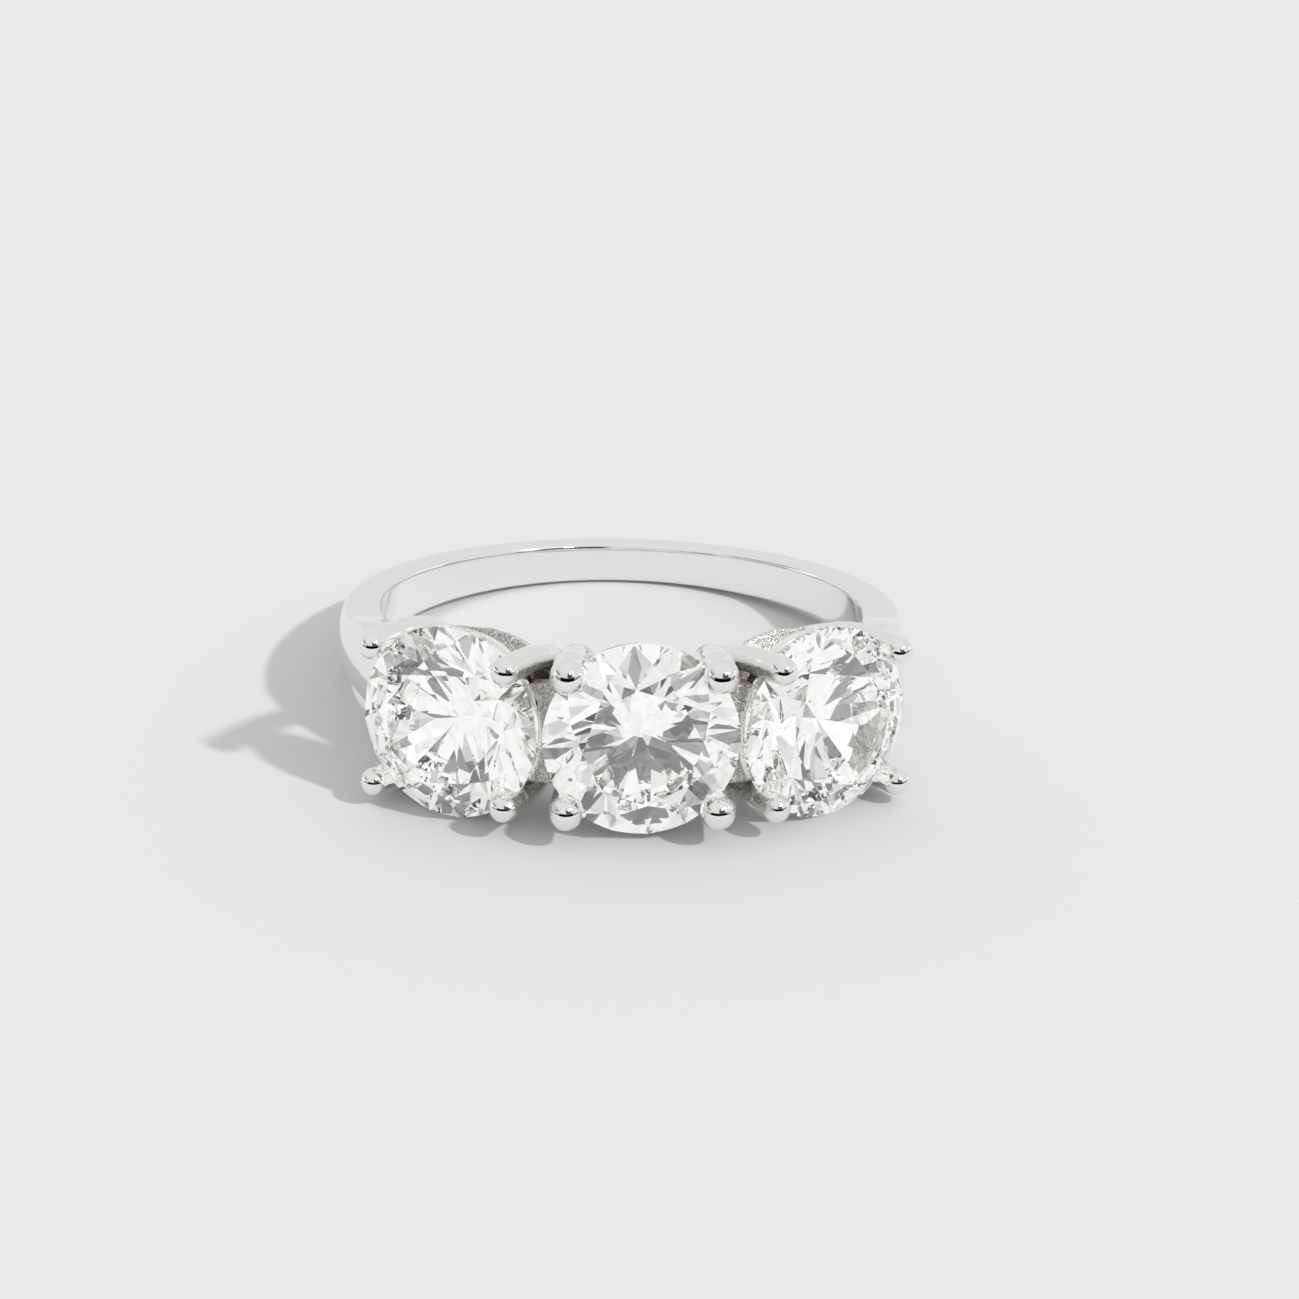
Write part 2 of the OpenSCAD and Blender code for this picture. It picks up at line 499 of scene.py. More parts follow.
def new_piece(name: str, points: np.ndarray, faces: list | np.ndarray, normals: np.ndarray | None,
              material: bpy.types.Material) -> bpy.types.Object:
    """Make one piece, which rides on the ring's body.

    Args:
        name: The piece's name.
        points: Points in the world, in metres.
        faces: Faces as rows of point numbers.
        normals: Smooth normals at the points, or None for flat facets.
        material: The piece's finish.

    Returns:
        The new object.
    """
    mesh = bpy.data.meshes.new(name)
    mesh.from_pydata(points.tolist(), [], faces if isinstance(faces, list) else faces.tolist())
    mesh.materials.append(material)
    smooth = normals is not None
    mesh.polygons.foreach_set("use_smooth", [smooth] * len(mesh.polygons))
    if smooth:
        mesh.normals_split_custom_set_from_vertices(normals.tolist())
    mesh.validate()
    piece = bpy.data.objects.new(name, mesh)
    bpy.context.scene.collection.objects.link(piece)
    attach(piece, "root")
    return piece


@dataclass
class Band:
    """The tapered band, from shoulder to shoulder round the back.

    Args:
        sizes: The ring's driving sizes.
        pose: How the ring lies.
        end_angle: Angle from the front at which the band's two ends are hidden in the setting.
        steps: Sections round the turn.
        side_points: Points along each of a section's four sides.
        edge_points: Points round each of its rounded corners.
    """

    sizes: RingSizes
    pose: RestPose
    end_angle: float = math.radians(55.0)
    steps: int = 360
    side_points: int = 10
    edge_points: int = 8

    def corner_walk(self) -> list[tuple[int, float]]:
        """Lay out the points round one section.

        Returns:
            A row for each point, with the number of its side, or that number and 4 for the corner
            after it, and how far along it the point lies, from 0 to 1.
        """
        walk = []
        for side in range(4):
            walk += [(side, t) for t in np.linspace(0.0, 1.0, self.side_points, endpoint=False)]
            walk += [(side + 4, t) for t in np.linspace(0.0, 1.0, self.edge_points, endpoint=False)]
        return walk

    def outside_r(self, angle: np.ndarray, z: np.ndarray) -> np.ndarray:
        """Distance of the rounded outside from the finger's axis.

        Args:
            angle: Angle from the band's back.
            z: Place along the finger.

        Returns:
            The distance at each place.
        """
        s = self.sizes
        reach = s.band_r - s.dome_r + np.sqrt(s.dome_r ** 2 - z * z)
        shift = s.band_shift
        return -shift * np.cos(angle) + np.sqrt(reach ** 2 - (shift * np.sin(angle)) ** 2)

    def section(self, angle: float) -> np.ndarray:
        """One closed section across the band, at an angle from its back.

        Args:
            angle: Angle from the band's back.

        Returns:
            Rows of distance from the finger's axis and place along it.
        """
        s = self.sizes
        inner_w = float(s.half_width(np.float64(s.bore_r * math.cos(angle))))
        outer_w = inner_w
        # The outer corner's distance and width depend on each other, and come together in a few rounds.
        for _ in range(4):
            outer_r = float(self.outside_r(np.float64(angle), np.float64(outer_w)))
            outer_w = float(s.half_width(np.float64(outer_r * math.cos(angle))))
        corners = [(s.bore_r, -inner_w), (s.bore_r, inner_w), (outer_r, outer_w), (outer_r, -outer_w)]
        along = s.edge / math.sqrt(1 - (outer_w / s.dome_r) ** 2)
        inner, reach = s.bore_edge, s.bore_edge * s.bore_edge_stretch
        trims = [(reach, reach), (inner, s.edge), (along, along), (s.edge, inner)]
        out = []
        for side, t in self.corner_walk():
            n = side % 4
            a, b = np.array(corners[n]), np.array(corners[(n + 1) % 4])
            way = (b - a) / np.linalg.norm(b - a)
            start, end = a + way * trims[n][0], b - way * trims[n][1]
            if side < 4:
                place = start + (end - start) * t
                if n == 2:
                    place[0] = float(self.outside_r(np.float64(angle), np.float64(place[1])))
            else:
                c = np.array(corners[(n + 2) % 4])
                onward = (c - b) / np.linalg.norm(c - b)
                after = b + onward * trims[(n + 1) % 4][0]
                place = (1 - t) ** 2 * end + 2 * t * (1 - t) * b + t * t * after
            out.append(place)
        return np.array(out)

    def build(self, metal: bpy.types.Material) -> bpy.types.Object:
        """Sweep the section round the finger.

        Args:
            metal: The polished finish.

        Returns:
            The band.
        """
        reach = math.pi - self.end_angle
        rows = []
        for angle in np.linspace(-reach, reach, self.steps + 1):
            ring = self.section(angle)
            turn = np.array([math.sin(angle), math.cos(angle)])
            rows.append(np.column_stack([ring[:, :1] * turn, ring[:, 1]]))
        across = len(rows[0])
        p = settle(self.sizes.band, np.concatenate(rows), rounds=3)
        normals = unit(gradient(self.sizes.band, p))
        faces = []
        for i in range(self.steps):
            for j in range(across):
                k = (j + 1) % across
                faces.append([i * across + j, (i + 1) * across + j, (i + 1) * across + k, i * across + k])
        faces.append(list(range(across)))
        faces.append([self.steps * across + j for j in reversed(range(across))])
        return new_piece("band", self.pose.points(p), faces, self.pose.directions(normals), metal)


@dataclass(frozen=True)
class Claw:
    """A round bar that bends over towards its foot, with a domed end, in a stone's frame.

    Args:
        top: Middle of the bar's upper end.
        foot: Middle of the bar's lower end.
        top_r: Radius at the upper end.
        foot_r: Radius at the lower end.
        bend: How late the bar leaves its first direction, along the stone and along the finger.
        point: How much narrower the small dome on the upper end is than the bar.
        blend: How softly that dome joins the bar.
    """

    top: tuple
    foot: tuple
    top_r: float
    foot_r: float
    bend: tuple = (1.5, 2.6)
    point: float = 0.15
    blend: float = 0.3

    def distance(self, m: np.ndarray) -> np.ndarray:
        """Distance to the claw.

        Args:
            m: Points folded into the first quarter of the stone's frame.

        Returns:
            Distance at each point.
        """
        top = np.asarray(self.top)
        way = np.asarray(self.foot) - top
        t = np.clip((m[:, 2] - top[2]) / way[2], 0.0, 1.0)
        off = m - top
        off[:, 2] = np.maximum(off[:, 2], 0.0)
        slope = np.zeros(len(m))
        for i, power in enumerate(self.bend):
            off[:, i] -= way[i] * t ** power
            slope += (way[i] / way[2] * power * t ** (power - 1.0)) ** 2
        radius = self.top_r + (self.foot_r - self.top_r) * t
        bar = (np.sqrt((off * off).sum(1)) - radius) / np.sqrt(1.0 + slope)
        off = m - top - np.array([0.0, 0.0, self.point])
        dome = np.sqrt((off * off).sum(1)) - self.top_r + self.point
        return soft_union(bar, dome, self.blend)


@dataclass(frozen=True)
class SkinPlaces:
    """Where the cast skin and the pockets' shade begin and end, as pairs of values to fade between.

    Args:
        front: Angle from the front at which the skin ends, in radians.
        facing: Outward part of the normal from which the rail's outer face is rough.
        over_bore: Height over the finger hole at which that face begins.
        over_rail: Height over the rail at which it ends.
        web: Degrees from the middle between two stones to where the rough walls end.
        inner_side: Part of the normal away from the middle plane, up to which a side is rough.
        web_z: Distance from the middle plane, up to which those walls are rough on every side.
        near_claw: Distance from a claw that the walls' skin keeps.
        claw_z: Height in a stone's frame up to which a claw's inner side is rough.
        near_rim: Distance from a rim that the skin keeps.
        polished_edge: Height over the finger hole up to which all is polished.
        pocket: Degrees from the middle between two stones to where the shade ends.
        pocket_z: Distances from the middle plane at which the shade's two steps end.
        pocket_shares: Weights of those two steps.
        lower_z: Distance under the middle plane from which the lower pockets are lighter.
        lower_share: How much lighter they are.
        pocket_rise: Distance in from the pockets over which the shade grows.
    """

    front: tuple = (math.radians(41.0), math.radians(45.0))
    facing: tuple = (0.3, 0.6)
    over_bore: tuple = (0.05, 0.12)
    over_rail: tuple = (0.1, 0.25)
    web: tuple = (2.5, 4.0)
    inner_side: tuple = (-0.2, 0.2)
    web_z: tuple = (1.75, 1.9)
    near_claw: tuple = (0.04, 0.12)
    claw_z: tuple = (-0.2, 0.2)
    near_rim: tuple = (0.03, 0.1)
    polished_edge: tuple = (0.03, 0.1)
    pocket: tuple = (6.0, 9.0)
    pocket_z: tuple = ((1.9, 2.2), (1.25, 1.55))
    pocket_shares: tuple = (0.35, 0.65)
    lower_z: tuple = (0.2, 0.8)
    lower_share: float = 0.45
    pocket_rise: float = 0.3


@dataclass
class Setting:
    """Rail, rims, claws and walls between the stones, cast in one.

    Heights in a stone's frame count from the middle of its girdle, out of its table.

    Args:
        sizes: The ring's driving sizes.
        pose: How the ring lies.
        cell: Size of the mesh's faces.
        low: Lowest corner of the space that the mesh lies in.
        high: Highest corner of that space.
        left_middle_claw: The middle head's claws on its left.
        right_middle_claw: The middle head's claws on its right.
        inner_claw: The outer heads' claws next to the middle head.
        outer_claw: The outer heads' claws next to the band.
        claw_shifts: A row for each head from the left, with how far its lower left, upper left, lower
            right and upper right claw stand off, outwards along the stone and along the finger.
        wave_height: How far hand finishing has left the claws' surface in or out.
        wave_turns: How many radians of its two waves go by in a millimetre.
        wave_starts: Where the first wave starts in each direction.
        rim_top: Height of a rim's upper edge.
        rim_bottom: Height of its lower edge.
        rim_r: Its radius at the upper edge.
        rim_low_r: Its radius at the lower edge.
        web_t: Thickness of the walls between the stones.
        web_half_w: Half of their width.
        web_top_r: Distance of their front edge from the finger's axis.
        pocket_r: Distance of the pockets behind that edge from the axis.
        pocket_half_w: Half of the walls' width between the pockets.
        thinning: Distances from the middle plane between which the rail grows thinner.
        seat_gap: Space left round a stone.
        seat_girdle: Half of the height of the girdle's space.
        seat_angles: Slopes of the space below and above the girdle.
        inset: How far the setting's two ends sink into the band.
        inset_angles: Angles from the front between which they sink.
        overlap_angle: Angle from the front at which they end.
        rim_edge: Rounding of the rims' edges.
        waist_blend: Fillet between the rail's waist and the band.
        foot_blend: Fillet round the heads' feet.
        shoulder_edge: Rounding where the band gives way to the heads.
        wall_blend: Fillet between the rail and the shoulders.
        hole_edge: Rounding of the light holes.
        pocket_blend: Fillet at the bottom of the pockets.
        web_blend: Fillet between the walls and the rail.
        rim_blend: Fillet round the rims.
        claw_blend: Fillet round the claws.
        seat_edge: Rounding of the seats' edges.
        skin: Where the cast skin and the pockets' shade lie.
    """

    sizes: RingSizes
    pose: RestPose
    cell: float = 0.075
    quick_cell: float = 1.6
    low: tuple = (-10.2, -12.9, -3.3)
    high: tuple = (10.2, -4.0, 3.3)
    left_middle_claw: Claw = Claw(top=(2.47, 2.31, 0.66), foot=(1.75, 1.4, -3.6), top_r=0.57, foot_r=0.5,
                                  bend=(1.2, 2.6))
    right_middle_claw: Claw = Claw(top=(2.47, 2.31, 0.66), foot=(2.25, 1.4, -3.6), top_r=0.57, foot_r=0.5)
    inner_claw: Claw = Claw(top=(2.47, 2.33, 0.7), foot=(2.1, 1.4, -3.6), top_r=0.47, foot_r=0.42)
    outer_claw: Claw = Claw(top=(2.47, 2.33, 0.7), foot=(2.42, 1.65, -3.4), top_r=0.45, foot_r=0.46,
                            bend=(1.5, 3.2))
    claw_shifts: tuple = (
        ((0.01, 0.0), (0.12, 0.06), (-0.02, 0.0), (-0.03, 0.02)),
        ((0.0, 0.0), (0.04, 0.05), (0.06, -0.03), (0.06, 0.05)),
        ((-0.01, 0.0), (-0.12, 0.03), (0.1, 0.0), (0.01, -0.08)),
    )
    wave_height: float = 0.004
    wave_turns: tuple = (7.9, 5.3)
    wave_starts: tuple = (0.4, 1.9, 0.9)
    rim_top: float = -0.4
    rim_bottom: float = -1.15
    rim_r: float = 3.15
    rim_low_r: float = 2.87
    web_t: float = 0.9
    web_half_w: float = 1.7
    web_top_r: float = 11.4
    pocket_r: float = 10.8
    pocket_half_w: float = 0.6
    thinning: tuple = (1.2, 2.3)
    seat_gap: float = 0.012
    seat_girdle: float = 0.12
    seat_angles: tuple = (math.radians(40.9), math.radians(35.5))
    inset: float = 0.003
    inset_angles: tuple = (math.radians(53.0), math.radians(55.0))
    overlap_angle: float = math.radians(62.0)
    rim_edge: float = 0.08
    waist_blend: float = 0.1
    foot_blend: float = 0.25
    shoulder_edge: float = 0.15
    wall_blend: float = 0.3
    hole_edge: float = 0.1
    pocket_blend: float = 0.2
    web_blend: float = 0.2
    rim_blend: float = 0.15
    claw_blend: float = 0.12
    seat_edge: float = 0.05
    skin: SkinPlaces = SkinPlaces()

    def to_head(self, p: np.ndarray, place: float) -> np.ndarray:
        """Points in a stone's frame: Z out of its table, Y along the finger.

        Args:
            p: Points in the ring's frame.
            place: The stone's place, or a number half way between two.

        Returns:
            The points in the stone's frame.
        """
        angle = place * self.sizes.stone_angle
        c, s = math.cos(angle), math.sin(angle)
        along = p[:, 0] * c + p[:, 1] * s
        out = p[:, 0] * s - p[:, 1] * c
        return np.column_stack([along, p[:, 2], out - self.sizes.girdle_r])

    def claws(self, q: np.ndarray, place: Place) -> np.ndarray:
        """Distance to one head's four claws, which are thicker on the middle head.

        Each claw stands a little off its ideal place, as hand work leaves it.

        Args:
            q: Points in the stone's frame.
            place: The stone's place.

        Returns:
            Distance at each point.
        """
        m = np.abs(q)
        m[:, 2] = q[:, 2]
        corner = 2 * (q[:, 0] > 0) + (q[:, 1] > 0)
        m[:, :2] -= np.asarray(self.claw_shifts[place + 1])[corner]
        left, right = {Place.LEFT: (self.outer_claw, self.inner_claw),
                       Place.CENTRE: (self.left_middle_claw, self.right_middle_claw),
                       Place.RIGHT: (self.inner_claw, self.outer_claw)}[place]
        return np.where(q[:, 0] < 0, left.distance(m), right.distance(m)) + self.unevenness(q)

    def unevenness(self, q: np.ndarray) -> np.ndarray:
        """How far hand finishing has left the claws' surface in or out.

        Args:
            q: Points in the stone's frame.

        Returns:
            The distance at each point.
        """
        first, second = self.wave_turns
        waves = np.sin(q * first + np.array(self.wave_starts)) + np.sin(q[:, [1, 2, 0]] * second)
        return self.wave_height * waves.sum(1)

    def rim(self, q: np.ndarray) -> np.ndarray:
        """Distance to the rim under a stone.

        Args:
            q: Points in the stone's frame.

        Returns:
            Distance at each point.
        """
        height = (q[:, 2] - self.rim_bottom) / (self.rim_top - self.rim_bottom)
        wall = from_axis(q) - (self.rim_low_r + (self.rim_r - self.rim_low_r) * height)
        ends = np.maximum(q[:, 2] - self.rim_top, self.rim_bottom - q[:, 2])
        return soft_cross(wall, ends, self.rim_edge)

    def room(self, q: np.ndarray) -> np.ndarray:
        """Distance to the space that one stone needs.

        Args:
            q: Points in the stone's frame.

        Returns:
            Distance at each point.
        """
        r = from_axis(q) - self.sizes.stone_r - self.seat_gap
        low, high = self.seat_angles
        below = r * math.sin(low) - (q[:, 2] + self.seat_girdle) * math.cos(low)
        above = r * math.sin(high) + (q[:, 2] - self.seat_girdle) * math.cos(high)
        return np.maximum(np.maximum(r, below), above)

    def web(self, q: np.ndarray) -> np.ndarray:
        """Distance to a wall between two stones, with a pocket behind its edge on both sides.

        Args:
            q: Points in a frame like a stone's, half way between the two stones.

        Returns:
            Distance at each point.
        """
        out = q[:, 2] + self.sizes.girdle_r
        edge = np.maximum(np.abs(q[:, 1]) - self.web_half_w, self.pocket_r - out)
        back = np.maximum(np.abs(q[:, 1]) - self.pocket_half_w, -out)
        front = out - self.web_top_r
        wall = soft_union(np.maximum(edge, front), np.maximum(back, front), self.pocket_blend)
        return np.maximum(wall, np.abs(q[:, 0]) - self.web_t / 2)

    def rail(self, p: np.ndarray, heads: list[np.ndarray]) -> np.ndarray:
        """Distance to the rail with the heads' feet, the light holes and the shoulders.

        Args:
            p: Points in the ring's frame.
            heads: The same points in each stone's frame.

        Returns:
            Distance at each point.
        """
        s = self.sizes
        across, onward = math.cos(s.shoulder_angle), math.sin(s.shoulder_angle)
        wedge = -p[:, 1] * onward - np.abs(p[:, 0]) * across
        ahead = np.maximum(s.outline(p), s.flare_end_y - p[:, 1])
        waist = np.maximum(np.abs(p[:, 2]) - s.waist_half_w, -wedge)
        width = soft_union(ahead, waist, self.waist_blend)
        for q in heads:
            foot = np.maximum(from_axis(q) - s.foot_r, -q[:, 2] - s.girdle_r)
            width = soft_union(width, foot, self.foot_blend)
        thin = (s.rail_t - s.rail_top_t) * ease(np.abs(p[:, 2]), *self.thinning)
        shoulders = soft_cross(s.dome(p), wedge, self.shoulder_edge)
        wall = soft_union(from_axis(p) - s.bore_r - s.rail_t + thin, shoulders, self.wall_blend)
        body = soft_cross(wall, width, s.edge)
        for q in heads:
            hole = s.light_hole_r - from_axis(q)
            body = np.where(q[:, 2] > -s.girdle_r, soft_cross(body, hole, self.hole_edge), body)
        return body

    def shape(self, p: np.ndarray) -> np.ndarray:
        """Distance to the whole setting.

        Args:
            p: Points in the ring's frame.

        Returns:
            Distance at each point.
        """
        heads = [self.to_head(p, place) for place in Place]
        body = self.rail(p, heads)
        for side in (-1, 1):
            body = soft_union(body, self.web(self.to_head(p, side / 2)), self.web_blend)
        for q in heads:
            body = soft_union(body, self.rim(q), self.rim_blend)
        for place, q in zip(Place, heads):
            body = soft_union(body, self.claws(q, place), self.claw_blend)
        body = self.sizes.bored(body, p)
        for q in heads:
            body = soft_cross(body, -self.room(q), self.seat_edge)
        turned = from_front(p)
        body = body + self.inset * ease(turned, *self.inset_angles)
        return np.maximum(body, (turned - self.overlap_angle) * from_axis(p))

    def cast_skin(self, p: np.ndarray, normals: np.ndarray) -> np.ndarray:
        """How much of the rough cast skin shows, from 0 where polished to 1.

        Args:
            p: Points on the surface.
            normals: The surface's normals there.

        Returns:
            The skin's weight at each point.
        """
        s, at = self.sizes, self.skin
        flat = from_axis(p)
        turned = from_front(p)
        outward = (normals[:, 0] * p[:, 0] + normals[:, 1] * p[:, 1]) / flat
        wall = ease(outward, *at.facing) * ease(flat, *(s.bore_r + h for h in at.over_bore))
        wall *= fade(flat, *(s.bore_r + s.rail_t + h for h in at.over_rail))
        between = 1 - ease(np.abs(np.degrees(turned) - math.degrees(s.stone_angle) / 2), *at.web)
        inward = fade(normals[:, 2] * np.sign(p[:, 2]), *at.inner_side)
        skin = np.maximum(wall, between * np.maximum(inward, fade(np.abs(p[:, 2]), *at.web_z)))
        for place in Place:
            q = self.to_head(p, place)
            arm = fade(self.claws(q, place), *at.near_claw) * fade(q[:, 2], *at.claw_z)
            rim = fade(self.rim(q), *at.near_rim)
            skin = np.maximum(skin * (1 - arm) * (1 - rim), arm * inward)
        return skin * fade(turned, *at.front) * ease(flat, *(s.bore_r + h for h in at.polished_edge))

    def painted_pocket_shade(self, p: np.ndarray) -> np.ndarray:
        """How much painted shade a point gets in the pockets between the heads.

        Args:
            p: Points on the surface.

        Returns:
            The painted shade's weight at each point, from 0 to 1.
        """
        at = self.skin
        flat, z = from_axis(p), np.abs(p[:, 2])
        turned = np.degrees(from_front(p))
        between = fade(np.abs(turned - math.degrees(self.sizes.stone_angle) / 2), *at.pocket)
        outer, inner = (share * fade(z, *ends) for share, ends in zip(at.pocket_shares, at.pocket_z))
        low = (outer + inner) * (1 - at.lower_share * ease(-p[:, 2], *at.lower_z))
        return between * low * fade(flat, self.pocket_r - at.pocket_rise, self.pocket_r)

    def build(self, metal: bpy.types.Material) -> bpy.types.Object:
        """Mesh the setting.

        Args:
            metal: The polished finish, which reads the cast skin and the painted pocket shade from the mesh.

        Returns:
            The setting.
        """
        cell = self.cell * 1.0
        p, faces = SurfaceNet(self.low, self.high, cell).build(self.shape)
        p = relax(settle(self.shape, p), faces, self.shape, rounds=2)
        normals = unit(gradient(self.shape, p))
        piece = new_piece("setting", self.pose.points(p), faces, self.pose.directions(normals), metal)
        # The second layer marks where painted shade darkens the pockets between the heads.
        for name, weight in (("cast_skin", self.cast_skin(p, normals)), ("painted_pocket_shade", self.painted_pocket_shade(p))):
            layer = piece.data.attributes.new(name, "FLOAT", "POINT")
            layer.data.foreach_set("value", weight)
        return piece


@dataclass
class Brilliant:
    """A round brilliant with 57 facets and a faceted girdle.

    Args:
        sizes: The ring's driving sizes.
        pose: How the ring lies.
        name: The piece's name.
        node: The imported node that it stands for.
        place: The stone's place.
        spin: Turn of the stone about its own axis.
        table_ratio: Width of the table over the stone's.
        crown_angle: Slope of the main facets above the girdle.
        pavilion_angle: Slope of the main facets below it.
        main_h: Half of the girdle's height at the main facets.
        star_ratio: How far the star facets reach from the table's edge to the girdle.
        lower_ratio: How far the lower girdle facets reach from the girdle to the culet.
        arc_points: Points round the girdle for each of its facets.
    """

    sizes: RingSizes
    pose: RestPose
    name: str
    node: str
    place: Place
    spin: float = 0.0
    table_ratio: float = 0.61
    crown_angle: float = math.radians(35.0)
    pavilion_angle: float = math.radians(41.0)
    main_h: float = 0.12
    star_ratio: float = 0.45
    lower_ratio: float = 0.76
    arc_points: int = 8

    def polar(self, azimuth: float, r: float, height: float) -> tuple[float, float, float]:
        """Point at an angle, a radius and a height about the stone's axis."""
        return (r * math.cos(azimuth), r * math.sin(azimuth), height)

    def girdle(self, side: int, slope: float) -> list:
        """One edge of the girdle.

        Args:
            side: 1 for the edge towards the table and -1 for the edge towards the culet.
            slope: Slope of the small facets that meet there.

        Returns:
            The edge's points.
        """
        n = 2 * MAINS * self.arc_points
        r = self.sizes.stone_r
        half = math.pi / (2 * MAINS)
        points = []
        for i in range(n):
            off = 2 * half * (i % self.arc_points) / self.arc_points - half
            height = self.main_h - r * (math.cos(off) - math.cos(half)) * slope
            points.append(self.polar(math.tau * i / n, r, side * height))
        return points

    def mesh(self) -> tuple[np.ndarray, list]:
        """Cut the stone in its own frame, with the girdle's middle at the origin.

        Returns:
            Points, one row each, and the facets as lists of point numbers.
        """
        r, eighth, n = self.sizes.stone_r, math.tau / MAINS, 2 * MAINS * self.arc_points
        table_r = r * self.table_ratio
        crown, pavilion = math.tan(self.crown_angle), math.tan(self.pavilion_angle)
        crown_h = self.main_h + (r - table_r) * crown
        table_in_r = table_r * math.cos(eighth / 2)
        star_r = table_in_r + self.star_ratio * (r - table_in_r)
        star_h = self.main_h + (r - star_r * math.cos(eighth / 2)) * crown
        upper = (star_h - self.main_h) / (r - star_r) / math.cos(eighth / 4)
        low_r = r * (1 - self.lower_ratio)
        low_h = self.main_h + (r - low_r * math.cos(eighth / 2)) * pavilion
        lower = (low_h - self.main_h) / (r - low_r) / math.cos(eighth / 4)
        points = [self.polar(eighth * i, table_r, crown_h) for i in range(MAINS)]
        points += [self.polar(eighth * (i + 0.5), star_r, star_h) for i in range(MAINS)]
        points += self.girdle(1, upper) + self.girdle(-1, lower)
        points += [self.polar(eighth * (i + 0.5), low_r, -low_h) for i in range(MAINS)]
        points.append((0.0, 0.0, -self.main_h - r * pavilion))
        # Point numbers run: table, star tips, upper girdle edge, lower edge, tips below, culet.
        star, top = MAINS, 2 * MAINS
        low = top + n
        tips, culet = low + n, low + n + MAINS
        faces = [list(range(MAINS))]
        for i in range(MAINS):
            j, h, arc = (i + 1) % MAINS, (i - 1) % MAINS, self.arc_points
            at = 2 * arc * i
            faces.append([j, i, star + i])
            faces.append([star + i, i, star + h, top + at])
            faces.append([tips + i, low + at, tips + h, culet])
            for start in (at, at + arc):
                edge = [(start + k) % n for k in range(arc + 1)]
                faces.append([star + i] + [top + k for k in edge])
                faces.append([tips + i] + [low + k for k in reversed(edge)])
        faces += [[top + i, low + i, low + (i + 1) % n, top + (i + 1) % n] for i in range(n)]
        return np.array(points), faces

    def build(self, stone: bpy.types.Material) -> bpy.types.Object:
        """Cut the stone and set it in its head.

        Args:
            stone: The clear finish.

        Returns:
            The stone.
        """
        p, faces = self.mesh()
        c, s = math.cos(self.spin), math.sin(self.spin)
        x, y = p[:, 0] * c - p[:, 1] * s, p[:, 0] * s + p[:, 1] * c
        out = p[:, 2] + self.sizes.girdle_r
        angle = self.place * self.sizes.stone_angle
        c, s = math.cos(angle), math.sin(angle)
        ring = np.column_stack([x * c + out * s, x * s - out * c, y])
        piece = new_piece(self.name, self.pose.points(ring), faces, None, stone)
        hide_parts(self.node)
        return piece


class NodeKit:
    """Short hand for placing and joining shader nodes.

    Args:
        tree: The node tree that is filled.
    """

    def __init__(self, tree: bpy.types.NodeTree) -> None:
        """Start with an empty tree."""
        self.tree = tree
        self.tree.nodes.clear()

    def node(self, kind: str, inputs: dict | None = None, **attributes: object) -> bpy.types.Node:
        """Add a node.

        Args:
            kind: Blender's name for the node.
            inputs: Values to set or sockets to join, by the name or number of the node's inputs.
            attributes: Attributes to set.

        Returns:
            The node.
        """
        made = self.tree.nodes.new(kind)
        for key, value in attributes.items():
            setattr(made, key, value)
        for key, value in (inputs or {}).items():
            if isinstance(value, bpy.types.NodeSocket):
                self.tree.links.new(value, made.inputs[key])
            else:
                made.inputs[key].default_value = value
        return made

    def work_out(self, operation: str, *terms: Number) -> bpy.types.NodeSocket:
        """Socket with the result of a sum on values or sockets."""
        return self.node("ShaderNodeMath", dict(enumerate(terms)), operation=operation).outputs[0]

    def scale(self, value: bpy.types.NodeSocket, start: float = 0.0, end: float = 1.0, low: float = 0.0,
              high: float = 1.0, **attributes: object) -> bpy.types.NodeSocket:
        """Map a number from one range to another.

        Args:
            value: The number.
            start: Where the first range starts.
            end: Where it ends.
            low: Result at the start.
            high: Result at the end.
            attributes: Attributes to set.

        Returns:
            Socket with the result.
        """
        inputs = {"Value": value, "From Min": start, "From Max": end, "To Min": low, "To Max": high}
        return self.node("ShaderNodeMapRange", inputs, **attributes).outputs[0]

    def mix_colours(self, share: bpy.types.NodeSocket, first: Colour, second: Colour) -> bpy.types.NodeSocket:
        """Mix two colours, given as sockets or as red, green and blue.

        Args:
            share: How much of the second colour shows.
            first: The first colour.
            second: The second colour.

        Returns:
            Socket with the mixed colour.
        """
        inputs = {0: share}
        for number, colour in ((6, first), (7, second)):
            inputs[number] = (*colour, 1.0) if isinstance(colour, tuple) else colour
        return self.node("ShaderNodeMix", inputs, data_type="RGBA").outputs[2]

    def mix_values(self, share: bpy.types.NodeSocket, first: Number, second: Number) -> bpy.types.NodeSocket:
        """Mix two numbers, given as sockets or values, by how much of the second shows."""
        return self.node("ShaderNodeMix", {0: share, 2: first, 3: second}, data_type="FLOAT").outputs[0]


def new_material(name: str) -> tuple[bpy.types.Material, NodeKit]:
    """Make a material.

    Args:
        name: Its name.
    """
    made = bpy.data.materials.new(name)
    made.use_nodes = True
    return made, NodeKit(made.node_tree)


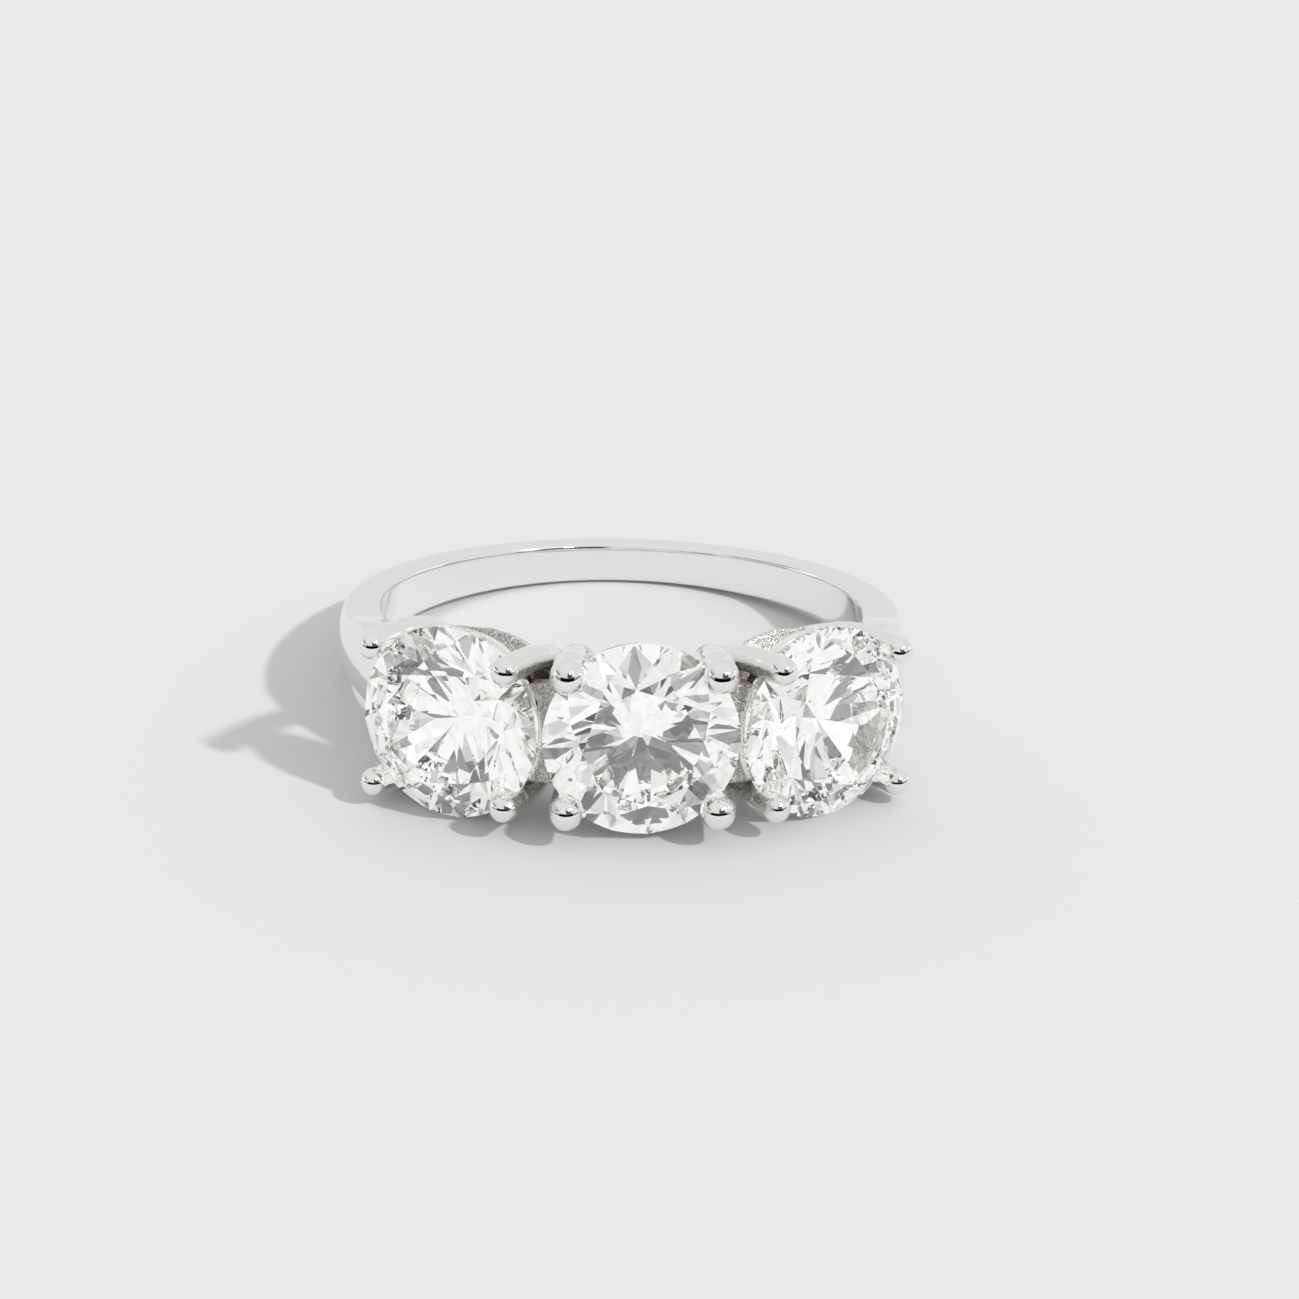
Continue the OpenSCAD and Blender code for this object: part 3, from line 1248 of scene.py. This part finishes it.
class Effect:
    """A shader node group that several finishes can share."""

    NAME: str
    INPUTS: tuple
    OUTPUTS: tuple

    @classmethod
    def group(cls) -> bpy.types.NodeTree:
        """Build the group, or find it where it is built.

        Returns:
            The group.
        """
        if cls.NAME in bpy.data.node_groups:
            return bpy.data.node_groups[cls.NAME]
        tree = bpy.data.node_groups.new(cls.NAME, "ShaderNodeTree")
        for way, names in (("INPUT", cls.INPUTS), ("OUTPUT", cls.OUTPUTS)):
            for name in names:
                tree.interface.new_socket(name, in_out=way, socket_type="NodeSocketFloat")
        kit = NodeKit(tree)
        results = cls.fill(kit, kit.node("NodeGroupInput"), kit.node("ShaderNodeTexCoord").outputs["Object"])
        kit.node("NodeGroupOutput", dict(zip(cls.OUTPUTS, results)))
        return tree

    @classmethod
    def fill(cls, kit: NodeKit, source: bpy.types.Node, place: bpy.types.NodeSocket) -> tuple:
        """Make the group's inner nodes.

        Args:
            kit: The group's node kit.
            source: Node with the group's inputs.
            place: Socket with the place on the object.

        Returns:
            A socket for each of the group's outputs.
        """
        raise NotImplementedError


class CastGrain(Effect):
    """Node group: the sandy skin of cast metal, as a height and a mask of its shade."""

    NAME = "cast_grain"
    INPUTS = ("Skin", "Grains per metre")
    OUTPUTS = ("Height", "Shade")
    SAND = {"Detail": 1.0, "Roughness": 0.6}
    PIT_DEPTH = 0.6
    SHADE_RANGE = (0.38, 0.66)

    @classmethod
    def fill(cls, kit: NodeKit, source: bpy.types.Node, place: bpy.types.NodeSocket) -> tuple:
        """Lay sand over pits, both only where the skin is.

        Args:
            kit: The group's node kit.
            source: Node with the group's inputs.
            place: Socket with the place on the object.

        Returns:
            Sockets with the height and the shade.
        """
        at = {"Vector": place, "Scale": source.outputs["Grains per metre"]}
        sand = kit.node("ShaderNodeTexNoise", {**at, **cls.SAND}).outputs["Fac"]
        pits = kit.node("ShaderNodeTexVoronoi", at).outputs["Distance"]
        both = kit.work_out("MULTIPLY_ADD", pits, cls.PIT_DEPTH, sand)
        return kit.work_out("MULTIPLY", both, source.outputs["Skin"]), kit.scale(sand, *cls.SHADE_RANGE)


class PolishLines(Effect):
    """Node group: the faint unevenness and fine lines that polishing leaves."""

    NAME = "polish_lines"
    INPUTS = ("Lines per metre",)
    OUTPUTS = ("Height", "Wear")
    STRETCH = (1.0, 0.35, 3.0)
    LINES = {"Detail": 4.0, "Roughness": 0.65}
    CLOUDS = {"Scale": 420.0, "Detail": 3.0}

    @classmethod
    def fill(cls, kit: NodeKit, source: bpy.types.Node, place: bpy.types.NodeSocket) -> tuple:
        """Draw long fine lines, and wide clouds of wear.

        Args:
            kit: The group's node kit.
            source: Node with the group's inputs.
            place: Socket with the place on the object.

        Returns:
            Sockets with the height and the wear.
        """
        stretched = kit.node("ShaderNodeMapping", {"Vector": place, "Scale": cls.STRETCH}).outputs[0]
        at = {"Vector": stretched, "Scale": source.outputs["Lines per metre"]}
        lines = kit.node("ShaderNodeTexNoise", {**at, **cls.LINES})
        clouds = kit.node("ShaderNodeTexNoise", {"Vector": place, **cls.CLOUDS})
        return lines.outputs["Fac"], clouds.outputs["Fac"]


@dataclass(frozen=True)
class PolishedMetal:
    """Rhodium-bright metal, mirror-smooth where polished and sandy where left as cast, with painted shade in
    the pockets between the heads.

    Args:
        colour: Colour where polished.
        grain_colour: Colour of the cast skin's grains.
        pit_colour: Colour between them.
        painted_shade_colour: Colour of the painted shade deep in the pockets.
        roughness: Roughness where polished.
        cast_roughness: Roughness of the cast skin.
        wear_range: Strength of the clouds between which wear comes in.
        wear_roughness: Roughness that full wear adds.
        grains_per_metre: Fineness of the cast skin.
        grain_height: Height of its grains in metres.
        lines_per_metre: Fineness of the polish.
        line_height: Height of its lines in metres.
    """

    colour: tuple = (0.93, 0.925, 0.91)
    grain_colour: tuple = (0.98, 0.97, 0.95)
    pit_colour: tuple = (0.42, 0.4, 0.37)
    painted_shade_colour: tuple = (0.1, 0.085, 0.07)
    roughness: float = 0.05
    cast_roughness: float = 0.4
    wear_range: tuple = (0.35, 0.75)
    wear_roughness: float = 0.03
    grains_per_metre: float = 16000.0
    grain_height: float = 0.00003
    lines_per_metre: float = 6000.0
    line_height: float = 0.0000004

    def material(self) -> bpy.types.Material:
        """Build the material.

        Returns:
            The material.
        """
        made, kit = new_material("polished_metal")
        skin = kit.node("ShaderNodeAttribute", attribute_name="cast_skin").outputs["Fac"]
        # Weight of the painted shade in the pockets between the heads.
        pocket_shade_weight = kit.node("ShaderNodeAttribute", attribute_name="painted_pocket_shade").outputs["Fac"]
        grain = kit.node("ShaderNodeGroup", {"Skin": skin, "Grains per metre": self.grains_per_metre},
                         node_tree=CastGrain.group())
        polish = kit.node("ShaderNodeGroup", {"Lines per metre": self.lines_per_metre},
                          node_tree=PolishLines.group())
        cast = kit.mix_colours(grain.outputs["Shade"], self.pit_colour, self.grain_colour)
        # Painted shade: the pockets between the heads darken towards a near-black colour.
        cast = kit.mix_colours(pocket_shade_weight, cast, self.painted_shade_colour)
        rough = kit.scale(skin, low=self.roughness, high=self.cast_roughness)
        wear = kit.scale(polish.outputs["Wear"], *self.wear_range, high=self.wear_roughness)
        fine = kit.node("ShaderNodeBump", {"Strength": 1.0, "Distance": self.line_height,
                                           "Height": polish.outputs["Height"]})
        coarse = kit.node("ShaderNodeBump", {"Strength": 1.0, "Distance": self.grain_height,
                                             "Height": grain.outputs["Height"], "Normal": fine.outputs[0]})
        shader = kit.node("ShaderNodeBsdfPrincipled", {
            "Metallic": 1.0, "Base Color": kit.mix_colours(skin, self.colour, cast),
            "Roughness": kit.work_out("ADD", rough, wear), "Normal": coarse.outputs[0]})
        kit.node("ShaderNodeOutputMaterial", {"Surface": shader.outputs[0]})
        return made


@dataclass(frozen=True)
class ClearStone:
    """Cubic zirconia: clear, bright and almost free of colour.

    Args:
        colour: Colour of the light that passes.
        ior: How strongly the stone bends light.
        lines_per_metre: Fineness of the polish.
        haze_range: Strength of the clouds between which haze comes in.
        haze_roughness: Roughness of full haze.
    """

    colour: tuple = (0.993, 0.985, 0.973)
    ior: float = 2.16
    lines_per_metre: float = 9000.0
    haze_range: tuple = (0.5, 0.8)
    haze_roughness: float = 0.02

    def material(self) -> bpy.types.Material:
        """Build the material.

        Returns:
            The material.
        """
        made, kit = new_material("clear_stone")
        polish = kit.node("ShaderNodeGroup", {"Lines per metre": self.lines_per_metre},
                          node_tree=PolishLines.group())
        haze = kit.scale(polish.outputs["Wear"], *self.haze_range, high=self.haze_roughness)
        shader = kit.node("ShaderNodeBsdfPrincipled", {
            "Metallic": 0.0, "Transmission Weight": 1.0, "IOR": self.ior,
            "Base Color": (*self.colour, 1.0), "Roughness": haze})
        kit.node("ShaderNodeOutputMaterial", {"Surface": shader.outputs[0]})
        return made


@dataclass(frozen=True)
class Panel:
    """A soft patch of the studio's surroundings, lighter or darker than the rest.

    Args:
        azimuth: Direction in degrees, 0 away from the camera and 90 to its right.
        elevation: Height of its middle in degrees.
        half_width: Half of its width in degrees.
        half_height: Half of its height in degrees.
        value: Its brightness.
        soft: Width of its soft edge in degrees.
    """

    azimuth: float
    elevation: float
    half_width: float
    half_height: float
    value: float
    soft: float = 8.0


@dataclass(frozen=True)
class PaleFloor:
    """Plain pale paper, with a painted glow where a stone shows it.

    Args:
        grey: Its grey.
        painted_glow_through_stones: Brightness of the painted glow that takes the place of the lit paper
            where a stone shows it.
    """

    grey: float = 0.725
    painted_glow_through_stones: float = 1.0

    def material(self) -> bpy.types.Material:
        """Build the material.

        Returns:
            The material.
        """
        made, kit = new_material("pale_floor")
        shader = kit.node("ShaderNodeBsdfDiffuse", {"Color": (self.grey, self.grey, self.grey, 1.0)})
        # Painted light: seen through a stone, the paper glows evenly instead of being lit, so its shadows
        # there do not show.
        glow = kit.node("ShaderNodeEmission", {"Strength": self.painted_glow_through_stones})
        passed = kit.node("ShaderNodeLightPath").outputs["Is Transmission Ray"]
        either = kit.node("ShaderNodeMixShader", {0: passed, 1: shader.outputs[0], 2: glow.outputs[0]})
        kit.node("ShaderNodeOutputMaterial", {"Surface": either.outputs[0]})
        return made


@dataclass
class Studio:
    """Pale floor, soft surroundings, one key light and the camera.

    Args:
        pose: How the ring lies.
        distance: From the camera to the middle of the finger hole, in millimetres.
        elevation: How steeply the camera looks down on the ring's middle plane, in radians.
        yaw: How far the camera stands round the finger's axis, in radians.
        roll: How far the camera is tilted to one side, in radians.
        image_size: Width and height of the picture in pixels.
        focal_length: The lens's focal length in pixels.
        ring_centre_x: Column where the finger hole's middle lies.
        ring_centre_y: Row where the finger hole's middle lies.
        sensor: Width of the camera's sensor in millimetres.
        clip: Nearest and furthest distance that the camera sees, in metres.
        floor_size: Width of the floor in metres.
        floor_front: How far it reaches towards the camera, in metres.
        paper: The floor's finish.
        key_direction: Direction towards the key light.
        key_strength: The key light's strength.
        key_angle: Its width as the ring sees it, in radians.
        sky: Brightness of the surroundings.
        everywhere: Patches that light the whole scene.
        on_metal: Patches that only reflections show.
        in_stones: Patches that only light through the stones shows.
        bounces: How often light is followed on.
        mirror_bounces: How often it is followed through reflections, or through stones.
        brightest: Where the brightness of indirect light is cut.
    """

    pose: RestPose
    distance: float = 218.825
    elevation: float = math.radians(17.5508)
    yaw: float = math.radians(3.7623)
    roll: float = math.radians(-1.2376)
    image_size: float = 1299.0
    focal_length: float = 6363.6
    ring_centre_x: float = 620.65
    ring_centre_y: float = 632.99
    sensor: float = 36.0
    clip: tuple = (0.005, 10.0)
    floor_size: float = 0.6
    floor_front: float = 0.056
    paper: PaleFloor = PaleFloor()
    key_direction: tuple = (1.143, -0.861, 1.28)
    key_strength: float = 1.62
    key_angle: float = math.radians(3.5)
    sky: float = 0.76
    # Each row: azimuth, elevation, half width, half height, brightness and soft edge.
    everywhere: tuple = (Panel(0.0, 90.0, 180.0, 38.0, 0.8, 24.0),)
    on_metal: tuple = (
        Panel(90.0, 11.0, 30.0, 5.0, 1.05, 5.0),
        Panel(-95.0, 11.0, 30.0, 5.0, 1.2, 5.0),
        Panel(-95.0, 24.0, 24.0, 8.0, 0.35, 6.0),
        Panel(180.0, 2.0, 92.0, 9.0, 0.3, 8.0),
        Panel(180.0, 4.0, 50.0, 12.0, 0.0, 6.0),
        Panel(158.0, 28.0, 18.0, 17.0, 0.1, 8.0),
        Panel(142.0, 46.0, 9.0, 6.0, 1.3, 6.0),
        Panel(153.0, 40.0, 2.5, 2.5, 14.0, 1.0),
    )
    in_stones: tuple = (
        Panel(0.0, 40.0, 180.0, 52.0, 0.98, 10.0),
        Panel(0.0, 20.0, 88.0, 60.0, 1.15, 10.0),
        Panel(180.0, 17.0, 25.0, 18.0, 0.15, 10.0),
        Panel(141.0, 13.0, 13.0, 6.0, 0.45, 6.0),
        Panel(160.0, 46.0, 9.0, 8.0, 0.6, 6.0),
        Panel(200.0, 23.0, 9.0, 5.0, 0.75, 5.0),
        Panel(120.0, 47.0, 10.0, 7.0, 1.35, 6.0),
    )
    bounces: int = 24
    mirror_bounces: int = 20
    brightest: float = 10.0

    def camera(self) -> bpy.types.Object:
        """Place the camera where the photograph was taken from.

        Returns:
            The camera.
        """
        turn = Matrix(self.pose.turn().tolist())
        ce, se = math.cos(self.elevation), math.sin(self.elevation)
        cy, sy = math.cos(self.yaw), math.sin(self.yaw)
        ahead = turn @ Vector((ce * sy, ce * cy, -se))
        level = turn @ Vector((cy, -sy, 0.0))
        above = level.cross(ahead)
        cr, sr = math.cos(self.roll), math.sin(self.roll)
        right = level * cr - above * sr
        up = level * sr + above * cr
        middle = self.image_size / 2
        aim = ahead + right * ((middle - self.ring_centre_x) / self.focal_length)
        aim = (aim + up * ((self.ring_centre_y - middle) / self.focal_length)).normalized()
        right = (right - aim * right.dot(aim)).normalized()
        up = right.cross(aim)
        data = bpy.data.cameras.new("camera")
        data.sensor_width = self.sensor
        data.lens = self.focal_length * self.sensor / self.image_size
        data.clip_start, data.clip_end = self.clip
        made = bpy.data.objects.new("camera", data)
        spot = self.pose.centre - ahead * (self.distance * MM)
        made.matrix_world = Matrix.Translation(spot) @ Matrix((right, up, -aim)).transposed().to_4x4()
        bpy.context.scene.collection.objects.link(made)
        bpy.context.scene.camera = made
        return made

    def floor(self) -> bpy.types.Object:
        """Lay the plain pale floor.

        Returns:
            The floor.
        """
        half, front = self.floor_size / 2, -self.floor_front
        mesh = bpy.data.meshes.new("floor")
        mesh.from_pydata([(-half, front, 0), (half, front, 0), (half, half, 0), (-half, half, 0)], [],
                         [(0, 1, 2, 3)])
        mesh.materials.append(self.paper.material())
        made = bpy.data.objects.new("floor", mesh)
        bpy.context.scene.collection.objects.link(made)
        return made

    def surroundings(self) -> None:
        """Light the scene from all round, with patches that only the metal or the stones show."""
        world = bpy.data.worlds.new("studio")
        bpy.context.scene.world = world
        world.use_nodes = True
        kit = NodeKit(world.node_tree)
        place = kit.node("ShaderNodeTexCoord").outputs["Generated"]
        toward = kit.node("ShaderNodeSeparateXYZ", {0: place})
        height = kit.work_out("ARCSINE", toward.outputs["Z"])
        value = self.sky
        for panel in self.everywhere:
            value = self.add_panel(kit, toward, height, value, panel)
        plain = value
        ray = kit.node("ShaderNodeLightPath")
        for kind, panels in (("Is Glossy Ray", self.on_metal), ("Is Transmission Ray", self.in_stones)):
            seen = plain
            for panel in panels:
                seen = self.add_panel(kit, toward, height, seen, panel)
            value = kit.mix_values(ray.outputs[kind], value, seen)
        light = kit.node("ShaderNodeBackground", {"Color": value})
        kit.node("ShaderNodeOutputWorld", {"Surface": light.outputs[0]})

    def add_panel(self, kit: NodeKit, toward: bpy.types.Node, height: bpy.types.NodeSocket,
                  value: Number, panel: Panel) -> bpy.types.NodeSocket:
        """Lay one patch over the surroundings so far.

        Args:
            kit: The world's node kit.
            toward: Node with the direction's parts.
            height: The direction's height as an angle.
            value: Brightness so far.
            panel: The patch.

        Returns:
            Brightness with the patch.
        """
        turn = math.radians(panel.azimuth)
        # Parts of the direction to the patch's side and towards its middle.
        parts = []
        for weight_x, weight_y in ((math.cos(turn), -math.sin(turn)), (math.sin(turn), math.cos(turn))):
            part = kit.work_out("MULTIPLY", toward.outputs["X"], weight_x)
            parts.append(kit.work_out("MULTIPLY_ADD", toward.outputs["Y"], weight_y, part))
        side = kit.work_out("ARCTAN2", *parts)
        over = kit.work_out("SUBTRACT", height, math.radians(panel.elevation))
        masks = []
        for angle, half in ((side, panel.half_width), (over, panel.half_height)):
            start, end = math.radians(half - panel.soft / 2), math.radians(half + panel.soft / 2)
            masks.append(kit.scale(kit.work_out("ABSOLUTE", angle), start, end, 1.0, 0.0,
                                   interpolation_type="SMOOTHSTEP"))
        return kit.mix_values(kit.work_out("MULTIPLY", *masks), value, panel.value)

    def key(self) -> bpy.types.Object:
        """Add the key light, from the right and a little from the camera's side.

        Returns:
            The light.
        """
        data = bpy.data.lights.new("key", "SUN")
        data.energy = self.key_strength
        data.angle = self.key_angle
        made = bpy.data.objects.new("key", data)
        made.rotation_euler = Vector(self.key_direction).to_track_quat("Z", "Y").to_euler()
        bpy.context.scene.collection.objects.link(made)
        return made

    def build(self) -> None:
        """Set up the whole studio."""
        self.camera()
        self.floor()
        self.surroundings()
        self.key()
        scene = bpy.context.scene
        scene.view_settings.view_transform = "Standard"
        scene.cycles.max_bounces = self.bounces
        scene.cycles.glossy_bounces = self.mirror_bounces
        scene.cycles.transmission_bounces = self.mirror_bounces
        scene.cycles.sample_clamp_indirect = self.brightest


def main() -> None:
    """Build the ring and its studio, piece by piece."""
    logging.basicConfig(level=logging.INFO, format="%(name)s: %(message)s")
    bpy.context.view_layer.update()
    pose = RestPose.from_record(frame["record"])
    sizes = RingSizes()
    Studio(pose).build()
    metal = PolishedMetal().material()
    stone = ClearStone().material()
    band = Band(sizes, pose).build(metal)
    setting = Setting(sizes, pose).build(metal)
    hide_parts("ring_mount")
    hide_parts("ring_mount")
    brilliants = (
        Brilliant(sizes, pose, "centre_brilliant", "centre_stone", Place.CENTRE, spin=math.radians(5.6)),
        Brilliant(sizes, pose, "left_brilliant", "left_stone", Place.LEFT, spin=math.radians(30.6)),
        Brilliant(sizes, pose, "right_brilliant", "right_stone", Place.RIGHT, spin=math.radians(8.8)),
    )
    for piece in (band, setting, *(brilliant.build(stone) for brilliant in brilliants)):
        LOG.info("%s: %d points, %d faces", piece.name, len(piece.data.vertices), len(piece.data.polygons))


if __name__ == "__main__":
    main()
